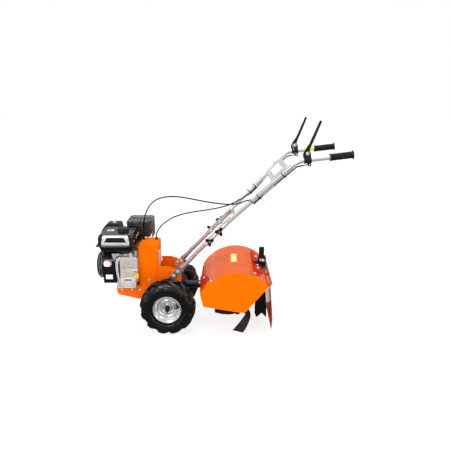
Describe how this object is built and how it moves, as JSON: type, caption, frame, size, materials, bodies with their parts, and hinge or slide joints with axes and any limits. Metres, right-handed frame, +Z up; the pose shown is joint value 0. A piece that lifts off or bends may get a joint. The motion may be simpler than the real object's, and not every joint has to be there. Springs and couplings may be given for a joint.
{
  "type": "walk-behind rear-tine rotary tiller",
  "caption": "Walk-behind rear-tine tiller: petrol engine, belt guard, lug-tyred drive wheels, hooded tine rotor, depth stake, rear flap and two long handlebars.",
  "frame": {"origin": "centre of the bounding box base, on the ground plane under the machine", "axes": "+X from engine to handlebar grips (rearwards), +Y to the machine right-hand side, +Z up"},
  "size_m": [1.4762, 0.537, 1.2447],
  "materials": {
    "tyre": "matte",
    "rim_steel": "gloss",
    "dark_steel": "satin",
    "black_casting": "satin",
    "orange_paint": "gloss",
    "black_paint": "satin",
    "engine_aluminium": "satin",
    "black_plastic": "satin",
    "black_gloss": "gloss",
    "dark_plastic": "satin",
    "guard_steel": "satin",
    "yellow_plastic": "satin",
    "zinc_steel": "satin",
    "grip_rubber": "matte",
    "cable_black": "satin"
  },
  "bodies": {
    "chassis": {"air_cleaner": "dark_plastic", "axle_shaft": "dark_steel", "belt_guard": "orange_paint", "carburettor": "engine_aluminium", "clutch_cable_left": "cable_black", "clutch_cable_right": "cable_black", "clutch_lever_left": "black_plastic", "clutch_lever_right": "black_plastic", "console_plate": "zinc_steel", "crankcase": "engine_aluminium", "cylinder_head": "engine_aluminium", "drive_tube": "black_paint", "engine_base": "orange_paint", "fan_housing": "black_plastic", "flap_hinge": "orange_paint", "fuel_cap": "black_plastic", "fuel_tank": "black_gloss", "gearbox_case": "black_casting", "gearbox_plate_left": "orange_paint", "gearbox_plate_right": "orange_paint", "grip_left": "grip_rubber", "grip_right": "grip_rubber", "hood_front_bracket": "orange_paint", "hood_shell": "orange_paint", "hood_side_left": "orange_paint", "hood_side_right": "orange_paint", "lever_bracket_left": "black_plastic", "lever_bracket_right": "black_plastic", "lower_handle": "zinc_steel", "muffler": "dark_steel", "muffler_guard": "guard_steel", "oil_filler_cap": "yellow_plastic", "recoil_starter": "black_plastic", "stake_bracket": "black_paint", "stake_support": "orange_paint", "star_knobs_left": "black_plastic", "star_knobs_right": "black_plastic", "tine_case": "black_casting", "upper_handle_left": "zinc_steel", "upper_handle_right": "zinc_steel"},
    "wheel_left": {"tyre_left": "tyre", "rim_left": "rim_steel"},
    "wheel_right": {"tyre_right": "tyre", "rim_right": "rim_steel"},
    "tine_rotor": {"rotor_shaft": "black_paint", "rotor_flanges": "black_paint", "tines_left": "black_paint", "tines_right": "black_paint"},
    "rear_flap": {"rear_flap": "orange_paint"},
    "depth_stake": {"depth_stake": "black_paint"}
  },
  "joints": [
    {"name": "wheel_left", "type": "hinge", "parent": "chassis", "child": "wheel_left", "pos_m": [-0.29509, -0.195, 0.165], "axis": [0, 1, 0], "continuous": true},
    {"name": "wheel_right", "type": "hinge", "parent": "chassis", "child": "wheel_right", "pos_m": [-0.29509, 0.195, 0.165], "axis": [0, 1, 0], "continuous": true},
    {"name": "tine_rotor", "type": "hinge", "parent": "chassis", "child": "tine_rotor", "pos_m": [0.11591, 0, 0.155], "axis": [0, 1, 0], "continuous": true},
    {"name": "rear_flap", "type": "hinge", "parent": "chassis", "child": "rear_flap", "pos_m": [0.30891, 0, 0.326], "axis": [0, -1, 0], "range_deg": [0, 75]},
    {"name": "depth_stake", "type": "slide", "parent": "chassis", "child": "depth_stake", "axis": [0, 0, 1], "range_m": [0, 0.1]}
  ]
}
